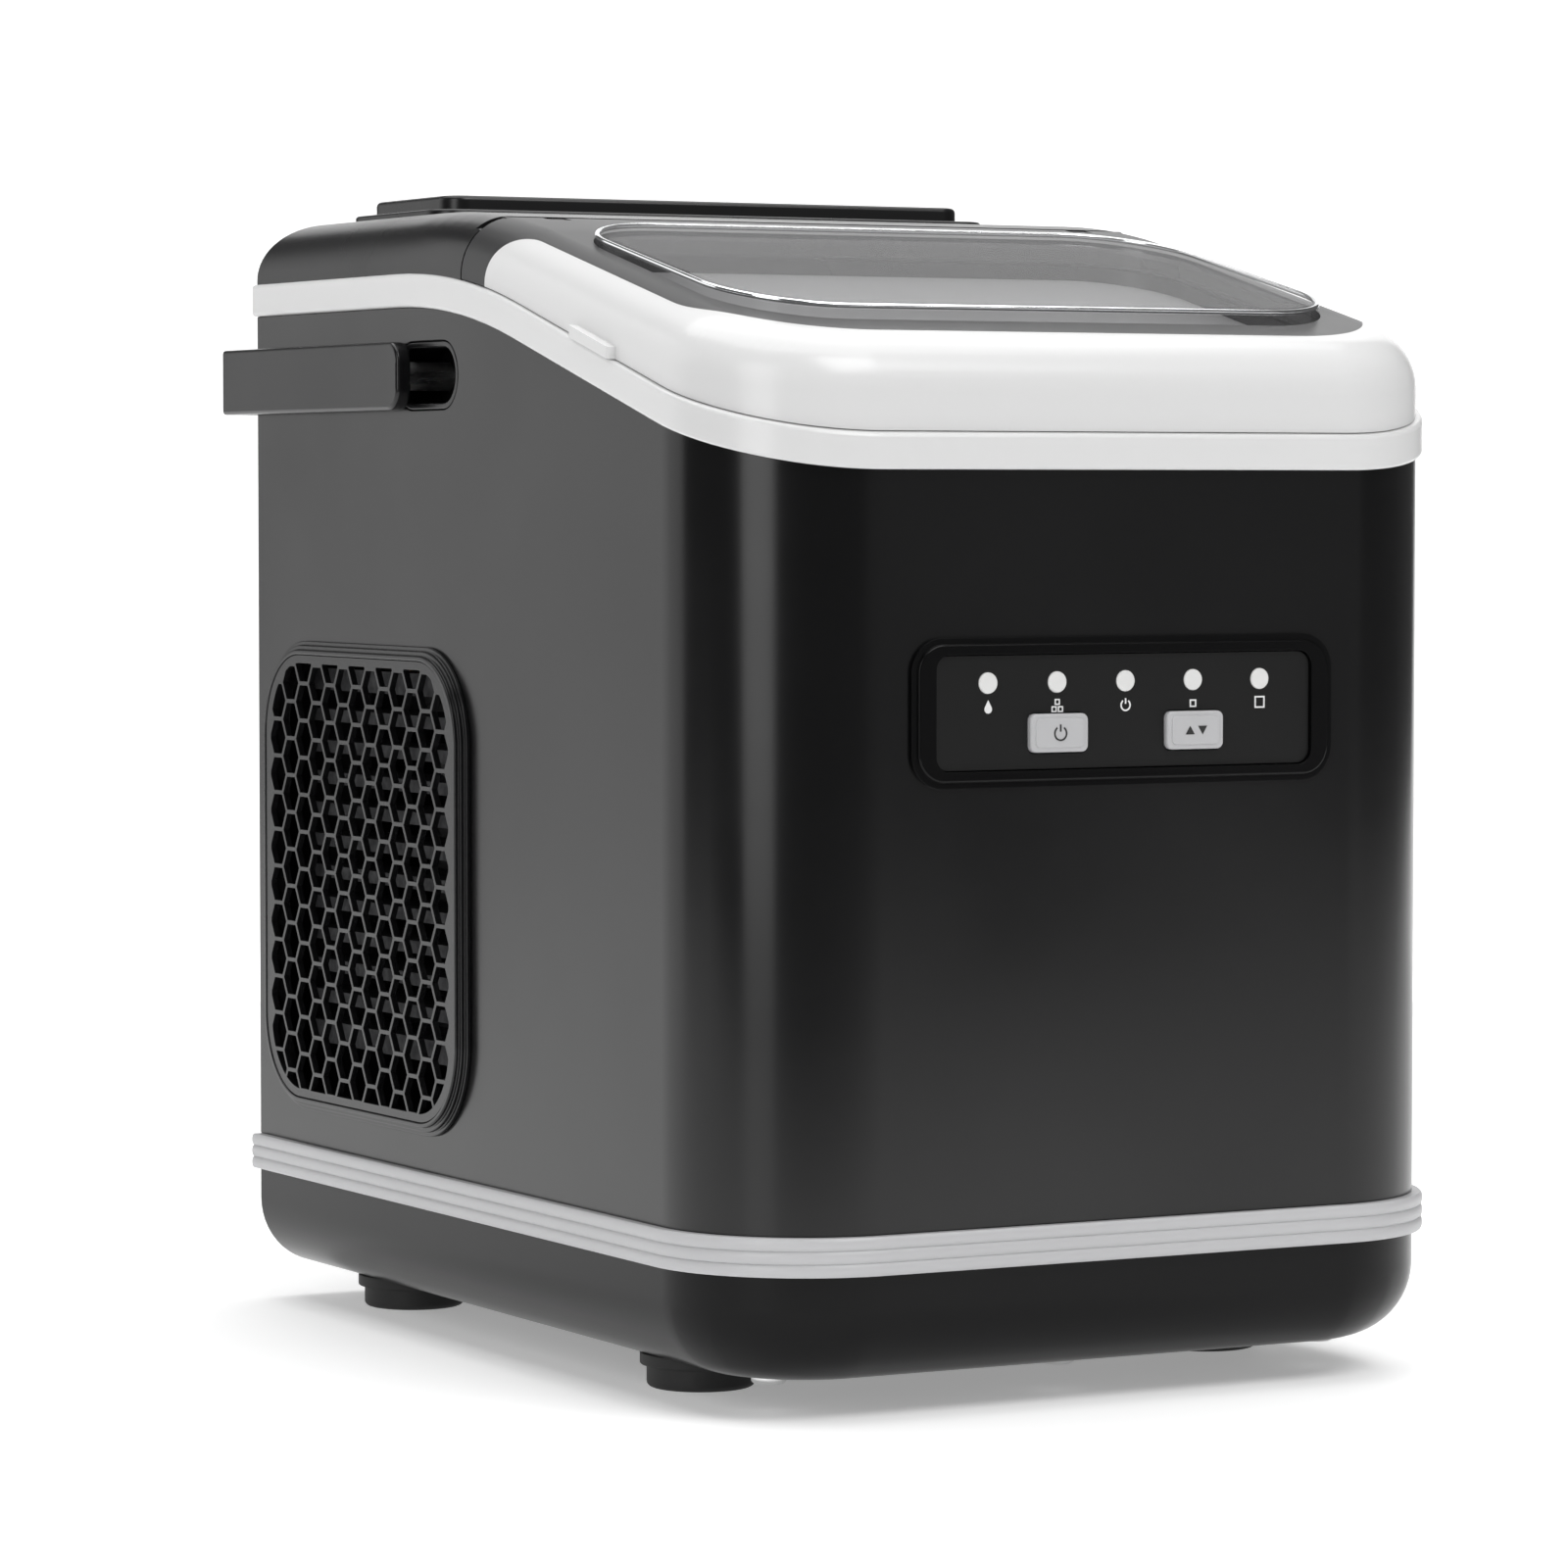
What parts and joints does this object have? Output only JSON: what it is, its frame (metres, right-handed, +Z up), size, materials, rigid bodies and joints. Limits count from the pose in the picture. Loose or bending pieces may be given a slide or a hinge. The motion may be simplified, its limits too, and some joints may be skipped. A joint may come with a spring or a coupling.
{
  "type": "ice maker",
  "caption": "Countertop ice maker with a sloping white lid, raised clear window, honeycomb side vents, front key panel and a swinging carry handle.",
  "frame": {"origin": "on the surface the machine stands on, below the middle of its bounding box", "axes": "+Z up, the control panel faces -Y, the carry handle hangs behind the rear face at +Y, +X is the right-hand side seen from the front"},
  "size_m": [0.2356, 0.3126, 0.3198],
  "materials": {
    "shell_black": "satin",
    "base_black": "gloss",
    "white_gloss": "gloss",
    "band_grey": "satin",
    "cover_black": "satin",
    "lid_black": "gloss",
    "clear_cover": "gloss",
    "smoked_pane": "satin",
    "panel_black": "satin",
    "lamp_white": "gloss",
    "key_grey": "satin",
    "vent_black": "satin",
    "handle_black": "satin",
    "foot_rubber": "matte",
    "screw_steel": "gloss",
    "pin_steel": "satin",
    "liner_white": "satin",
    "accessory_white": "satin",
    "tray_clear": "gloss",
    "foam_cream": "matte",
    "seal_rubber": "matte",
    "hose_rubber": "satin",
    "nickel": "satin",
    "copper": "satin",
    "motor_grey": "satin",
    "compressor_black": "gloss",
    "fin_aluminium": "satin",
    "board_green": "satin"
  },
  "bodies": {
    "cabinet": {"body_shell": "shell_black", "rear_panel": "cover_black", "base_pan": "base_black", "lower_trim_band": "band_grey", "upper_trim_band": "white_gloss", "rear_top_cover": "cover_black", "top_plate_lower": "cover_black", "top_plate_upper": "cover_black", "left_vent_frame": "vent_black", "left_vent_grille": "vent_black", "right_vent_frame": "vent_black", "right_vent_grille": "vent_black", "handle_pockets": "handle_black", "feet": "foot_rubber", "foot_screws": "screw_steel", "base_screws": "screw_steel", "rear_screws": "screw_steel", "cord_gland": "foot_rubber", "panel_bezel": "base_black", "panel_overlay": "panel_black", "indicator_lenses": "lamp_white", "control_board": "board_green", "tact_switches": "panel_black", "tank_liner": "liner_white", "foam_jacket": "foam_cream", "evaporator": "nickel", "tray_motor": "motor_grey", "tray_bearing": "liner_white", "ice_full_sensor": "panel_black", "water_pump": "panel_black", "water_hose": "hose_rubber", "drain_spout": "liner_white", "compressor": "compressor_black", "compressor_mounts": "foot_rubber", "condenser": "fin_aluminium", "fan_shroud": "vent_black", "fan_motor": "motor_grey", "suction_pipe": "copper", "discharge_pipe": "copper", "filter_drier": "copper", "power_board": "board_green", "hinge_pins": "pin_steel"},
    "lid": {"lid_shell": "white_gloss", "lid_frame": "lid_black", "lid_window": "clear_cover", "lid_liner": "cover_black", "lid_inner_pane": "smoked_pane", "lid_seal": "seal_rubber"},
    "handle": {"carry_handle": "handle_black", "handle_pins": "pin_steel"},
    "on_off_key": {"on_off_button": "key_grey"},
    "select_key": {"select_button": "key_grey"},
    "fan": {"fan_rotor": "vent_black"},
    "tray": {"water_tray": "tray_clear"},
    "basket": {"ice_basket": "accessory_white"},
    "ice_scoop": {"scoop": "accessory_white"},
    "drain_plug": {"drain_cap": "seal_rubber"}
  },
  "joints": [
    {"name": "lid_hinge", "type": "hinge", "parent": "cabinet", "child": "lid", "pos_m": [0, 0.0065, 0.308], "axis": [-1, 0, 0], "range_deg": [0, 95]},
    {"name": "handle_swing", "type": "hinge", "parent": "cabinet", "child": "handle", "pos_m": [0, 0.0405, 0.2678], "axis": [1, 0, 0], "range_deg": [0, 90]},
    {"name": "on_off_press", "type": "slide", "parent": "cabinet", "child": "on_off_key", "axis": [0, 1, 0], "range_m": [0, 0.0012], "stiffness_N_per_m": 600},
    {"name": "select_press", "type": "slide", "parent": "cabinet", "child": "select_key", "axis": [0, 1, 0], "range_m": [0, 0.0012], "stiffness_N_per_m": 600},
    {"name": "fan_spin", "type": "hinge", "parent": "cabinet", "child": "fan", "pos_m": [-0.0765, 0.07, 0.1314], "axis": [1, 0, 0], "continuous": true},
    {"name": "tray_tilt", "type": "hinge", "parent": "cabinet", "child": "tray", "pos_m": [0, -0.0275, 0.2314], "axis": [1, 0, 0], "range_deg": [0, 60]},
    {"name": "basket_lift", "type": "slide", "parent": "cabinet", "child": "basket", "axis": [0, 0, 1], "range_m": [0, 0.015]},
    {"name": "scoop_lift", "type": "slide", "parent": "basket", "child": "ice_scoop", "axis": [0, 0, 1], "range_m": [0, 0.03]},
    {"name": "drain_cap_pull", "type": "slide", "parent": "cabinet", "child": "drain_plug", "axis": [1, 0, 0], "range_m": [0, 0.02]}
  ]
}
